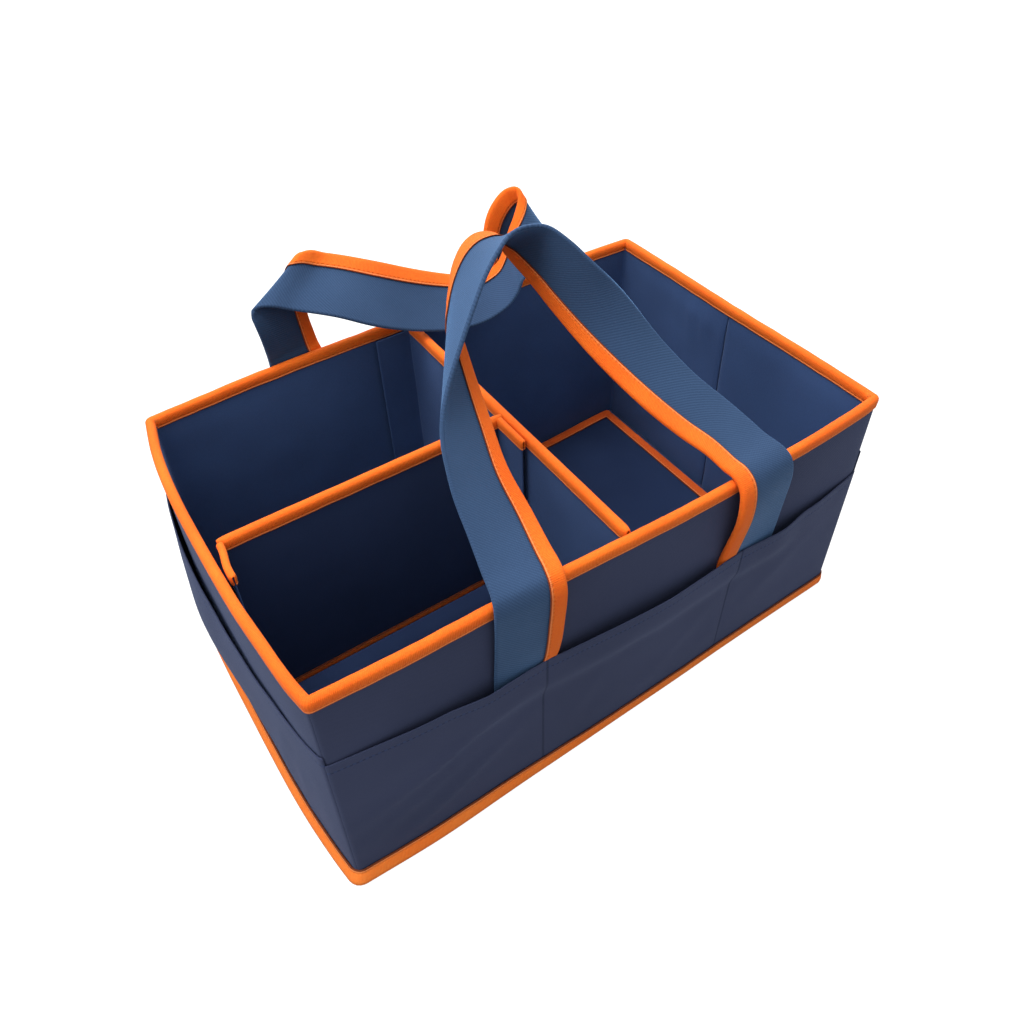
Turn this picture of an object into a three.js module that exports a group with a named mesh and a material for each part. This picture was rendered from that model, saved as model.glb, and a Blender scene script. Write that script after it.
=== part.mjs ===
// A fabric diaper caddy: an open box of board-stiffened fabric walls with two hook-and-loop
// dividers, a loose base insert, pockets outside and two strap handles.
// Millimetres, +Z up. The origin is on the floor, under the middle of the box. X runs along the
// long walls, and the front long wall is at -Y.
import * as THREE from "three";

// Overall sizes, over the edge tape of the rim
const boxLength = 381;
const boxWidth = 241.3;
const boxHeight = 177.8;

// Sheets, boards and the gap left between pieces that touch
const gap = 0.3;
const mitreShare = 0.7;
const fabric = 0.8;
const board = 2;
const lining = 0.6;
const tape = 1.2;
const seamTurn = 0.8;
const rimTapeHeight = 11;
const footTapeHeight = 9;
const footTapeReach = 12;

// Pockets outside the walls
const pocketSheet = 0.9;
const longPocketHeight = 123;
const longPocketSag = 22;
const endPocketHeight = 130;
const endPocketSag = 12;
const pocketGape = 10;
const pocketSideMargin = 2;
const pocketFlatBelow = 40;
const pocketClearFrom = 42;
const pocketClearDrop = 15;
const frontSeamLeft = -65;
const frontSeamRight = 79;
const backSeamLeft = -82;
const backSeamRight = 74;

// Base insert
const insertMargin = 3.2;
const insertTapeWidth = 10;
const insertTape = 0.9;

// Dividers
const dividerRise = 25;
const crossX = -7;
const longY = -2.5;
const dividerTapeHeight = 9;
const dividerTape = 1;
const longTapeFoot = 6;
const dividerTapeSetback = 3.4;

// Hook-and-loop flaps at the dividers' ends
const flapWidth = 25;
const flapSheet = 1.2;
const hookSheet = 1.2;
const hookWidth = 18;
const hookSetback = 4;
const hookTopDrop = 16;
const hookFootRise = 5;
const flapTape = 0.9;
const flapTapeHeight = 7;
const flapTapeSetback = 6;
const foldShares = { reach: 0.85, thickness: 0.45 };

// Strap handles
const strapWidth = 45;
const strapSheet = 2.4;
const strapTape = 0.7;
const strapTapeWidth = 11.5;
const strapEndLength = 84;
const strapStepRun = 6;
const handleHalfSpan = 84;
const handleReach = 150;
const handleRise = 115;
const handleLift = 0.8;
const frontHandleX = 14;
const backHandleX = -4;
const ringsPerStation = 4;

// Each station of a strap's middle line: across, inwards and up as shares of the half span, the
// reach and the rise, then the compass angle and the slope of the line across the strap, in
// degrees, and the length of that line as a share of the width.
const frontStationShares = [
  [-1, 0, 0, 0, 0, 1],
  [-0.995, 0.02, 0.027, 2, -2, 1],
  [-0.95, 0.2, 0.12, 10, -16, 1],
  [-0.92, 0.32, 0.23, 12, -21, 1],
  [-0.89, 0.42, 0.33, 18, -28, 1],
  [-0.86, 0.52, 0.42, 34, -38, 1],
  [-0.78, 0.65, 0.53, 68, -45, 1],
  [-0.64, 0.75, 0.67, 85, -44, 1],
  [-0.49, 0.83, 0.76, 94, -42, 1],
  [-0.32, 0.91, 0.84, 105, -38, 1],
  [-0.06, 0.98, 0.89, 113, -30, 1],
  [0.08, 0.93, 0.86, 118, -38, 1],
  [0.15, 0.84, 0.8, 125, -42, 1],
  [0.21, 0.76, 0.73, 138, -40, 1],
  [0.32, 0.65, 0.56, 162, -33, 1],
  [0.47, 0.49, 0.34, 188, -20, 1],
  [0.61, 0.33, 0.2, 196, -10, 1],
  [0.72, 0.21, 0.1, 194, -5, 1],
  [0.83, 0.1, 0.05, 187, -4, 1],
  [0.98, 0.02, 0.027, 181, -1, 1],
  [1, 0, 0, 180, 0, 1],
];
const backStationShares = [
  [-1, 0, 0, 0, 0, 1],
  [-1, 0, 0.03, 0, 0, 1],
  [-1, 0.01, 0.26, 0, 9, 1],
  [-1.02, 0.02, 0.44, 0, 25, 1.08],
  [-1.05, 0.035, 0.54, 0, 38, 1.19],
  [-1.06, 0.065, 0.585, 1, 45, 1.19],
  [-1, 0.095, 0.57, 3, 46, 1.16],
  [-0.86, 0.08, 0.51, -7, 49, 1.09],
  [-0.69, 0.08, 0.45, -15, 52, 1],
  [-0.49, 0.08, 0.4, -32, 60, 1],
  [-0.23, 0.1, 0.3, -54, 59, 1],
  [0.06, 0.12, 0.21, -66, 53, 1],
  [0.3, 0.13, 0.17, -79, 46, 1],
  [0.47, 0.155, 0.165, -90, 47, 1],
  [0.6, 0.175, 0.23, -104, 57, 1],
  [0.72, 0.2, 0.33, -129, 65, 1],
  [0.83, 0.2, 0.42, -157, 61, 1.04],
  [0.95, 0.16, 0.5, -173, 52, 1.16],
  [1.06, 0.11, 0.56, -183, 46, 1.24],
  [1.11, 0.065, 0.57, -182, 45, 1.25],
  [1.11, 0.03, 0.52, -180, 41, 1.24],
  [1.07, 0.01, 0.42, -180, 30, 1.13],
  [1.03, 0, 0.26, -180, 15, 1.03],
  [1, 0, 0.03, -180, 0, 1],
  [1, 0, 0, -180, 0, 1],
];

// Places worked out from the sizes above
const wallHalfLength = boxLength / 2 - tape - gap;
const wallHalfWidth = boxWidth / 2 - tape - gap;
const wallFoot = tape + gap;
const wallTop = boxHeight - tape - gap;
const wallSheet = fabric + gap + board + gap + lining;
const innerHalfLength = wallHalfLength - wallSheet;
const innerHalfWidth = wallHalfWidth - wallSheet;
const floorTop = wallFoot + fabric;
const insertFoot = floorTop + gap + insertTape + gap;
const insertSheet = lining + gap + board + gap + lining;
const insertHalfLength = innerHalfLength - insertMargin - insertTape;
const insertHalfWidth = innerHalfWidth - insertMargin - insertTape;
const insertTop = insertFoot + insertSheet;
const dividerFoot = insertTop + gap + insertTape + dividerRise;
const dividerSheet = lining + gap + board + gap + lining;
const dividerTop = boxHeight - dividerTape - gap;
const holdSheet = gap + hookSheet + gap + hookSheet + gap + flapSheet / 2;
const hingeOut = flapSheet / 2 + gap;
const strapIn = tape + 2 * gap;
const strapMiddle = strapIn + strapSheet / 2;
const hingeZ = boxHeight + handleLift;
const anchorTop = hingeZ - strapSheet / 2 - gap;
const strapFoot = boxHeight - strapEndLength;
const strapStepHigh = boxHeight - rimTapeHeight - gap;
const strapStepLow = strapStepHigh - strapStepRun;

// Materials
const finish = (color, roughness) =>
  new THREE.MeshStandardMaterial({ color, roughness, metalness: 0 });
const navy = () => finish(0x2c3450, 0.9);
const strapBlue = () => finish(0x3c4d7a, 0.85);
const orange = () => finish(0xff7a18, 0.8);
const boardGrey = () => finish(0xb9b2a4, 0.95);
const darkTape = () => finish(0x14182c, 0.95);

const part = new THREE.Group();

// Adds one named mesh.
function add(name, geometry, material, parent = part) {
  const mesh = new THREE.Mesh(geometry, material);
  mesh.name = name;
  parent.add(mesh);
  return mesh;
}

// Makes a geometry from points and triangles, with every face turned outwards.
function solid(points, triangles) {
  const corner = points.map((point) => new THREE.Vector3(...point));
  let volume = 0;
  for (const [a, b, c] of triangles) {
    volume += corner[a].dot(corner[b].clone().cross(corner[c]));
  }
  if (volume < 0) triangles.forEach((triangle) => triangle.reverse());
  const geometry = new THREE.BufferGeometry();
  const position = new THREE.Float32BufferAttribute(points.flat(), 3);
  geometry.setAttribute("position", position);
  geometry.setIndex(triangles.flat());
  geometry.computeVertexNormals();
  return geometry;
}

// Skins a row of rings, each with the same count of points, and closes both ends. The outline is
// the ring's shape in its own plane. Each face is cut along the diagonal from its lower first
// value, so that neighbouring sheets bend alike.
function skin(rings, outline) {
  const count = outline.length;
  const triangles = [];
  for (let i = 0; i + 1 < rings.length; i += 1) {
    for (let j = 0; j < count; j += 1) {
      const k = (j + 1) % count;
      const a = i * count + j;
      const b = i * count + k;
      const c = a + count;
      const d = b + count;
      const ahead = outline[k][0] - outline[j][0] || outline[k][1] - outline[j][1];
      if (ahead > 0) {
        triangles.push([a, b, d], [a, d, c]);
      } else {
        triangles.push([a, b, c], [b, d, c]);
      }
    }
  }
  const flat = outline.map(([u, v]) => new THREE.Vector2(u, v));
  const last = (rings.length - 1) * count;
  const turn = Math.sign(THREE.ShapeUtils.area(flat));
  for (const [p, q, r] of THREE.ShapeUtils.triangulateShape(flat, [])) {
    const cap = turn > 0 ? [p, q, r] : [p, r, q];
    triangles.push([cap[0], cap[2], cap[1]]);
    triangles.push(cap.map((index) => last + index));
  }
  return solid(rings.flat(), triangles);
}

// A strip along one wall, with ends mitred to its neighbours. The outline gives how far out of
// the wall's outer face and how high each point is. The strip runs along +X at the front.
function mitredStrip(outline, halfLength) {
  const mitre = gap * mitreShare;
  const end = (side) =>
    outline.map(([out, up]) => [side * (halfLength + out - mitre), -out, up]);
  return skin([end(-1), end(1)], outline);
}

// Puts a strip that runs along +X at the front on one of the four walls.
function wallGroup(turn, halfDepth) {
  const turned = new THREE.Group();
  turned.rotation.z = turn;
  const moved = new THREE.Group();
  moved.position.y = -halfDepth;
  turned.add(moved);
  part.add(turned);
  return moved;
}

// A rectangle of an outline, from its lowest to its highest corner.
function rectangle(low, high) {
  return [
    [low[0], low[1]],
    [high[0], low[1]],
    [high[0], high[1]],
    [low[0], high[1]],
  ];
}

// A box between two opposite corners.
function block(one, other) {
  const size = one.map((value, i) => Math.abs(other[i] - value));
  const geometry = new THREE.BoxGeometry(...size);
  return geometry.translate(...one.map((value, i) => (value + other[i]) / 2));
}

// The edge tape folded over the top of a sheet: an upside-down U of the given leg height.
function topTapeOutline(inner, outer, top, legHeight, sheet) {
  const low = top - legHeight;
  return [
    [inner - gap - sheet, low],
    [inner - gap, low],
    [inner - gap, top - sheet],
    [outer + gap, top - sheet],
    [outer + gap, low],
    [outer + gap + sheet, low],
    [outer + gap + sheet, top],
    [inner - gap - sheet, top],
  ];
}

// One wall: outer fabric, lining, and a board or two half boards.
function wall(name, turn, halfDepth, halfLength, boardCount) {
  const group = wallGroup(turn, halfDepth);
  const boardOut = -fabric - gap;
  const liningOut = boardOut - board - gap;
  const outer = rectangle([-fabric, wallFoot], [0, wallTop]);
  add(name + "_outer_fabric", mitredStrip(outer, halfLength), navy(), group);
  const inner = rectangle([liningOut - lining, wallFoot], [liningOut, wallTop]);
  add(name + "_lining", mitredStrip(inner, halfLength), navy(), group);
  const boardHalf = halfLength + boardOut - board - gap;
  const boardLow = wallFoot + seamTurn;
  const boardHigh = wallTop - seamTurn;
  const pieceLength = (2 * boardHalf - (boardCount - 1) * gap) / boardCount;
  for (let i = 0; i < boardCount; i += 1) {
    const start = -boardHalf + i * (pieceLength + gap);
    const low = [start, -boardOut, boardLow];
    const high = [start + pieceLength, -boardOut + board, boardHigh];
    const suffix = boardCount > 1 ? "_board_" + (i + 1) : "_board";
    add(name + suffix, block(low, high), boardGrey(), group);
  }
}

wall("front", 0, wallHalfWidth, wallHalfLength, 1);
wall("right", Math.PI / 2, wallHalfLength, wallHalfWidth, 2);
wall("back", Math.PI, wallHalfWidth, wallHalfLength, 1);
wall("left", -Math.PI / 2, wallHalfLength, wallHalfWidth, 2);

// A strip that runs round all four sides. The outline gives how far outside the half sizes and
// how high each point is.
function ringStrip(outline, halfLength, halfWidth) {
  const corners = [
    [-1, -1],
    [1, -1],
    [1, 1],
    [-1, 1],
  ];
  const points = corners.flatMap(([sideX, sideY]) =>
    outline.map(([out, up]) => [sideX * (halfLength + out), sideY * (halfWidth + out), up]),
  );
  const triangles = [];
  const count = outline.length;
  for (let i = 0; i < corners.length; i += 1) {
    const next = (i + 1) % corners.length;
    for (let j = 0; j < count; j += 1) {
      const k = (j + 1) % count;
      const a = i * count + j;
      const b = i * count + k;
      const c = next * count + j;
      const d = next * count + k;
      triangles.push([a, d, b], [a, c, d]);
    }
  }
  return solid(points, triangles);
}

const rimOutline = topTapeOutline(-wallSheet, 0, boxHeight, rimTapeHeight, tape);
add("rim_tape", ringStrip(rimOutline, wallHalfLength, wallHalfWidth), orange());
const footOut = gap + pocketSheet + gap;
const footOutline = [
  [-footTapeReach, 0],
  [footOut + tape, 0],
  [footOut + tape, footTapeHeight],
  [footOut, footTapeHeight],
  [footOut, tape],
  [-footTapeReach, tape],
];
add("foot_tape", ringStrip(footOutline, wallHalfLength, wallHalfWidth), orange());

// The floor panel lies on the ground inside the foot tape, and reaches over it to the walls.
const floorRect = (inset, z) => {
  const halfX = wallHalfLength - inset;
  const halfY = wallHalfWidth - inset;
  return [
    [-halfX, -halfY, z],
    [halfX, -halfY, z],
    [halfX, halfY, z],
    [-halfX, halfY, z],
  ];
};
const floorRings = [
  floorRect(footTapeReach + gap, 0),
  floorRect(footTapeReach + gap, wallFoot),
  floorRect(wallSheet + gap, wallFoot),
  floorRect(wallSheet + gap, floorTop),
];
add("floor_panel", skin(floorRings, floorRings[0].map(([x, y]) => [x, y])), navy());

// How far the pocket sheet stands off the wall at a height: it clears the strap ends near its
// top, and gapes between its seams.
function pocketOff(along, height, top, seams, strapClear) {
  const clearLow = strapFoot - pocketClearFrom;
  const clearHigh = strapFoot - pocketClearDrop;
  const rise = THREE.MathUtils.smoothstep(height, clearLow, clearHigh);
  let gape = 0;
  for (let i = 0; i + 1 < seams.length; i += 1) {
    const t = (along - seams[i]) / (seams[i + 1] - seams[i]);
    if (t > 0 && t < 1) gape = Math.sin(Math.PI * t) ** 2;
  }
  const open = Math.max(0, (height - pocketFlatBelow) / (top - pocketFlatBelow));
  return gap + strapClear * rise + pocketGape * gape * open;
}

// A pocket panel across one wall: one sheet, sewn at the foot, the ends and the seams.
function pocketPanel(name, turn, halfDepth, halfLength, seams, sizes) {
  const columnsPerPocket = 6;
  const rows = 5;
  const along = [];
  for (let i = 0; i + 1 < seams.length; i += 1) {
    for (let j = 0; j < columnsPerPocket; j += 1) {
      const t = j / columnsPerPocket;
      along.push(seams[i] + (seams[i + 1] - seams[i]) * t);
    }
  }
  along.push(seams[seams.length - 1]);
  const heightAt = (x) => sizes.height - sizes.sag * (1 - (x / halfLength) ** 2);
  const points = [];
  for (const layer of [0, pocketSheet]) {
    for (let r = 0; r <= rows; r += 1) {
      for (const x of along) {
        const share = r / rows;
        const top = heightAt(x);
        const up = wallFoot + gap + (top - wallFoot - gap) * share;
        const off = pocketOff(x, up, top, seams, sizes.strapClear) + layer;
        points.push([x, -off, up]);
      }
    }
  }
  const across = along.length;
  const layerSize = across * (rows + 1);
  const triangles = [];
  for (let r = 0; r < rows; r += 1) {
    for (let c = 0; c + 1 < across; c += 1) {
      const a = r * across + c;
      const b = a + 1;
      const d = a + across;
      const e = d + 1;
      triangles.push([a, e, b], [a, d, e]);
      triangles.push(
        [layerSize + a, layerSize + b, layerSize + e],
        [layerSize + a, layerSize + e, layerSize + d],
      );
    }
  }
  const border = [];
  for (let c = 0; c < across; c += 1) border.push(c);
  for (let r = 1; r <= rows; r += 1) border.push(r * across + across - 1);
  for (let c = across - 2; c >= 0; c -= 1) border.push(rows * across + c);
  for (let r = rows - 1; r > 0; r -= 1) border.push(r * across);
  border.forEach((a, i) => {
    const b = border[(i + 1) % border.length];
    triangles.push([a, b, layerSize + b], [a, layerSize + b, layerSize + a]);
  });
  add(name, solid(points, triangles), navy(), wallGroup(turn, halfDepth));
}

const longSizes = {
  height: longPocketHeight,
  sag: longPocketSag,
  strapClear: strapSheet + gap,
};
const endSizes = { height: endPocketHeight, sag: endPocketSag, strapClear: 0 };
const longHalf = wallHalfLength - pocketSideMargin;
const endHalf = wallHalfWidth - pocketSideMargin;
const frontSeams = [-longHalf, frontSeamLeft, frontSeamRight, longHalf];
const backSeams = [-longHalf, -backSeamRight, -backSeamLeft, longHalf];
const endSeams = [-endHalf, endHalf];
pocketPanel("front_pockets", 0, wallHalfWidth, longHalf, frontSeams, longSizes);
pocketPanel("back_pockets", Math.PI, wallHalfWidth, longHalf, backSeams, longSizes);
pocketPanel("left_pocket", -Math.PI / 2, wallHalfLength, endHalf, endSeams, endSizes);
pocketPanel("right_pocket", Math.PI / 2, wallHalfLength, endHalf, endSeams, endSizes);

// Base insert: a board in a fabric sleeve, open at its left end under the edge tape.
const sleeveOutline = (half, low, thickness) => [
  [-half, low],
  [half, low],
  [half, low + thickness],
  [-half, low + thickness],
  [-half, low + thickness - lining],
  [half - lining, low + thickness - lining],
  [half - lining, low + lining],
  [-half, low + lining],
];

// A C-shaped sleeve of sheet around a board, extruded across.
function sleeve(outline, halfAcross) {
  const ring = (y) => outline.map(([x, z]) => [x, y, z]);
  return skin([ring(halfAcross), ring(-halfAcross)], outline);
}

add(
  "insert_cover",
  sleeve(sleeveOutline(insertHalfLength, insertFoot, insertSheet), insertHalfWidth),
  navy(),
);
const insertBoardInset = lining + gap;
add(
  "insert_board",
  block(
    [seamTurn - insertHalfLength, seamTurn - insertHalfWidth, insertFoot + insertBoardInset],
    [
      insertHalfLength - insertBoardInset,
      insertHalfWidth - seamTurn,
      insertFoot + insertBoardInset + board,
    ],
  ),
  boardGrey(),
);

// The insert's edge tape: a sideways U that runs round all four edges.
const insertTapeOutline = [
  [-insertTapeWidth, insertFoot - gap - insertTape],
  [gap + insertTape, insertFoot - gap - insertTape],
  [gap + insertTape, insertTop + gap + insertTape],
  [-insertTapeWidth, insertTop + gap + insertTape],
  [-insertTapeWidth, insertTop + gap],
  [gap, insertTop + gap],
  [gap, insertFoot - gap],
  [-insertTapeWidth, insertFoot - gap],
];
const insertTapeRing = ringStrip(insertTapeOutline, insertHalfLength, insertHalfWidth);
add("insert_edge_tape", insertTapeRing, orange());

// A divider in its own frame: it runs along +X from its folded end at X = 0 to X = length, its
// sheet is centred on Y = 0, and its flaps point to -Y.
function dividerSleeve(length) {
  const half = dividerSheet / 2;
  const outline = [
    [-half, dividerFoot],
    [lining - half, dividerFoot],
    [lining - half, dividerTop - lining],
    [half - lining, dividerTop - lining],
    [half - lining, dividerFoot],
    [half, dividerFoot],
    [half, dividerTop],
    [-half, dividerTop],
  ];
  const ring = (x) => outline.map(([y, z]) => [x, y, z]);
  return skin([ring(0), ring(length)], outline);
}

function dividerTapeStrip(length, outline) {
  const ring = (x) => outline.map(([y, z]) => [x, y, z]);
  const start = dividerTapeSetback;
  return skin([ring(start), ring(length - start)], outline);
}

function dividerBody(name, length, group, footTape) {
  const half = dividerSheet / 2;
  const inset = lining + gap;
  add(name + "_cover", dividerSleeve(length), navy(), group);
  const low = [seamTurn, -board / 2, dividerFoot + seamTurn];
  const high = [length - seamTurn, board / 2, dividerTop - inset];
  add(name + "_board", block(low, high), boardGrey(), group);
  const top = topTapeOutline(-half, half, boxHeight, dividerTapeHeight, dividerTape);
  add(name + "_top_tape", dividerTapeStrip(length, top), orange(), group);
  if (!footTape) return;
  const outer = half + gap + dividerTape;
  const under = dividerFoot - gap;
  const foot = [
    [-outer, under - dividerTape],
    [outer, under - dividerTape],
    [outer, under + longTapeFoot],
    [half + gap, under + longTapeFoot],
    [half + gap, under],
    [-half - gap, under],
    [-half - gap, under + longTapeFoot],
    [-outer, under + longTapeFoot],
  ];
  add(name + "_foot_tape", dividerTapeStrip(length, foot), orange(), group);
}

// A flap in its own frame: its fold is at the origin, it runs along +X, and the face that is
// pressed on the wall or divider looks to the given side of Y. Its fold is narrowed, so that it
// can turn in place.
function flap(name, group, side, taped) {
  const half = flapSheet / 2;
  const low = dividerFoot + hookFootRise;
  const outline = [
    [-half * foldShares.reach, -half * foldShares.thickness],
    [0, -half],
    [flapWidth, -half],
    [flapWidth, half],
    [0, half],
    [-half * foldShares.reach, half * foldShares.thickness],
  ];
  const ring = (z) => outline.map(([x, y]) => [x, y, z]);
  const top = taped ? boxHeight - flapTape - gap : dividerTop;
  add(name, skin([ring(low), ring(top)], outline), navy(), group);
  const hookLow = [hookSetback, side * (half + gap), low + hookFootRise];
  const hookHigh = [
    hookSetback + hookWidth,
    side * (half + gap + hookSheet),
    boxHeight - hookTopDrop,
  ];
  add(name + "_hook_strip", block(hookLow, hookHigh), darkTape(), group);
  if (!taped) return;
  const folded = topTapeOutline(-half, half, boxHeight, flapTapeHeight, flapTape);
  const tapeRing = (x) => folded.map(([y, z]) => [x, y, z]);
  const rings = [tapeRing(flapTapeSetback), tapeRing(flapWidth)];
  add(name + "_tape", skin(rings, folded), orange(), group);
}

// The loop strip that a flap is pressed on, in the flap's own frame.
function loopStrip(name, group, side) {
  const near = flapSheet / 2 + gap + hookSheet + gap;
  const low = [hookSetback, side * near, dividerFoot + 2 * hookFootRise];
  const high = [
    hookSetback + hookWidth,
    side * (near + hookSheet),
    boxHeight - hookTopDrop,
  ];
  add(name, block(low, high), darkTape(), group);
}

// A group in the part's frame, moved and turned about +Z.
function placed(x, y, turn) {
  const group = new THREE.Group();
  group.position.set(x, y, 0);
  group.rotation.z = turn;
  part.add(group);
  return group;
}

// Cross divider, from the back wall to the front wall. Its back flap points to -X and its front
// flap to +X.
const crossHalfLength = innerHalfWidth - holdSheet - flapSheet / 2 - gap;
const crossEnd = innerHalfWidth - holdSheet;
const crossSide = dividerSheet / 2 + hingeOut;
dividerBody(
  "cross_divider",
  2 * crossHalfLength,
  placed(crossX, crossHalfLength, -Math.PI / 2),
  false,
);
const backFold = placed(crossX - crossSide, crossEnd, Math.PI, false);
flap("cross_back_flap", backFold, -1, false);
loopStrip("back_wall_loop_strip", backFold, -1);
const frontFold = placed(crossX + crossSide, -crossEnd, 0);
flap("cross_front_flap", frontFold, -1, true);
loopStrip("front_wall_loop_strip", frontFold, -1);

// Long divider, from the left wall to the cross divider. Both its flaps point to -Y.
const longStart = -innerHalfLength + holdSheet + flapSheet / 2 + gap;
const longEnd = crossX - dividerSheet / 2 - holdSheet - flapSheet / 2 - gap;
dividerBody("long_divider", longEnd - longStart, placed(longStart, longY, 0), true);
const longSide = dividerSheet / 2 + hingeOut;
const leftFold = placed(-innerHalfLength + holdSheet, longY - longSide, -Math.PI / 2);
flap("long_left_flap", leftFold, -1, true);
loopStrip("left_wall_loop_strip", leftFold, -1);
const middleX = crossX - dividerSheet / 2 - holdSheet;
const middleFold = placed(middleX, longY - longSide, -Math.PI / 2);
flap("long_right_flap", middleFold, 1, true);
loopStrip("cross_divider_loop_strip", middleFold, 1);

// The strap's cross-section: across is from its bare edge to its taped edge. The extra points
// lie under the tape's border, so that the strap and its tape bend alike.
const halfAcross = strapWidth / 2;
const tapeStart = halfAcross - strapTapeWidth;
const strapEdge = halfAcross - strapTape - gap;
const strapOutline = [
  [-halfAcross, -strapSheet / 2],
  [tapeStart, -strapSheet / 2],
  [strapEdge, -strapSheet / 2],
  [strapEdge, strapSheet / 2],
  [tapeStart, strapSheet / 2],
  [-halfAcross, strapSheet / 2],
];
const tapeInner = strapSheet / 2 + gap;
const tapeOuter = tapeInner + strapTape;
const tapeOutline = [
  [tapeStart, -tapeOuter],
  [halfAcross, -tapeOuter],
  [halfAcross, tapeOuter],
  [tapeStart, tapeOuter],
  [tapeStart, tapeInner],
  [strapEdge + gap, tapeInner],
  [strapEdge + gap, -tapeInner],
  [tapeStart, -tapeInner],
];

// The rings of a strap that follows the stations. Its bare ends are rounded about the fold line.
function strapRings(stationShares, side, middleX) {
  const places = stationShares.map(
    ([across, inwards, up]) =>
      new THREE.Vector3(
        middleX + across * handleHalfSpan,
        side * (wallHalfWidth + strapMiddle - inwards * handleReach),
        hingeZ + up * handleRise,
      ),
  );
  const turns = stationShares.map(
    ([, , , compass, slope, lengthShare]) =>
      new THREE.Vector3(compass, slope, lengthShare),
  );
  const line = new THREE.CatmullRomCurve3(places, false, "centripetal");
  const turning = new THREE.CatmullRomCurve3(turns, false, "centripetal");
  const count = (stationShares.length - 1) * ringsPerStation;
  const frames = [];
  for (let i = 0; i <= count; i += 1) {
    const t = i / count;
    const turn = turning.getPoint(t);
    const compass = THREE.MathUtils.degToRad(turn.x);
    const slope = THREE.MathUtils.degToRad(turn.y);
    const across = new THREE.Vector3(
      Math.cos(slope) * Math.cos(compass),
      -side * Math.cos(slope) * Math.sin(compass),
      Math.sin(slope),
    );
    const along = line.getTangent(t);
    const normal = new THREE.Vector3().crossVectors(along, across);
    frames.push({
      middle: line.getPoint(t),
      along,
      across: across.clone().multiplyScalar(turn.z),
      normal: normal.normalize(),
    });
  }
  return frames;
}

// Sweeps an outline along the frames. With an end share, both ends narrow to a rounded nose.
function sweep(frames, outline, noseShares) {
  const ring = ({ middle, across, normal }, share, shift) =>
    outline.map(([a, h]) => {
      const point = middle.clone().addScaledVector(across, a);
      point.addScaledVector(normal, h * share).add(shift);
      return point.toArray();
    });
  const none = new THREE.Vector3();
  const rings = frames.map((frame) => ring(frame, 1, none));
  if (noseShares) {
    const reach = (strapSheet / 2) * noseShares.reach;
    const first = frames[0];
    const last = frames[frames.length - 1];
    const before = first.along.clone().multiplyScalar(-reach);
    const after = last.along.clone().multiplyScalar(reach);
    rings.unshift(ring(first, noseShares.thickness, before));
    rings.push(ring(last, noseShares.thickness, after));
  }
  return skin(rings, outline);
}

// One handle: the free strap with its edge tape, and both sewn ends on the wall.
function handle(name, stationShares, side, middleX) {
  const frames = strapRings(stationShares, side, middleX);
  add(name + "_handle_strap", sweep(frames, strapOutline, foldShares), strapBlue());
  const inner = frames.slice(ringsPerStation, -ringsPerStation);
  add(name + "_handle_tape", sweep(inner, tapeOutline), orange());
  const low = strapIn - tape - gap;
  const outline = [
    [low, strapFoot],
    [low + strapSheet, strapFoot],
    [low + strapSheet, strapStepLow],
    [strapIn + strapSheet, strapStepHigh],
    [strapIn + strapSheet, anchorTop],
    [strapIn, anchorTop],
    [strapIn, strapStepHigh],
    [low, strapStepLow],
  ];
  for (const [end, inward] of [
    ["left", 1],
    ["right", -1],
  ]) {
    const group = wallGroup(side < 0 ? 0 : Math.PI, wallHalfWidth);
    const legX = middleX - inward * handleHalfSpan;
    const bare = legX - inward * halfAcross;
    const edge = legX + inward * (tapeStart - gap);
    const taped = legX + inward * halfAcross;
    const piece = (from, to) => {
      const x = [from, to].map((value) => -side * value);
      const ring = (value) => outline.map(([out, up]) => [value, -out, up]);
      return skin([ring(x[0]), ring(x[1])], outline);
    };
    add(`${name}_handle_${end}_end`, piece(bare, edge), strapBlue(), group);
    add(`${name}_handle_${end}_end_tape`, piece(edge + inward * gap, taped), orange(), group);
  }
}

handle("front", frontStationShares, -1, frontHandleX);
handle("back", backStationShares, 1, backHandleX);

export default part;
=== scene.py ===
"""A fabric diaper caddy with two dividers, a base insert, outside pockets and two strap handles.

Lengths below are in millimetres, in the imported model's frame: the origin is on the floor under
the middle of the box, X runs along the long walls, and the front long wall is at -Y.
"""
import math

import bpy
from mathutils import Matrix, Vector, noise


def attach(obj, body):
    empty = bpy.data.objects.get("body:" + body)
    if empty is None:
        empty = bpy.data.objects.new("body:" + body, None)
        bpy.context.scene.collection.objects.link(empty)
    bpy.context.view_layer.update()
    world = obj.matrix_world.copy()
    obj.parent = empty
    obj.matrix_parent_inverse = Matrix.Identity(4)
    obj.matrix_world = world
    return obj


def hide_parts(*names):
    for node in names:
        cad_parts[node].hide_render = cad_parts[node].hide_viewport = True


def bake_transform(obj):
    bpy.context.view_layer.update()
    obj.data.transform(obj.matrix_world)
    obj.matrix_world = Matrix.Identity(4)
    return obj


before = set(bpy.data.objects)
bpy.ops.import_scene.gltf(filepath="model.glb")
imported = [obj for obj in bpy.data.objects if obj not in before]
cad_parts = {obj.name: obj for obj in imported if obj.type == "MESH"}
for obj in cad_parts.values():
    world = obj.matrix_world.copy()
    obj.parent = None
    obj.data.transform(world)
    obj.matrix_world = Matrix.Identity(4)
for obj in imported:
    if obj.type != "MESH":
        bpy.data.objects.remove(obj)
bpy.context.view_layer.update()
MM = 0.001

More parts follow.
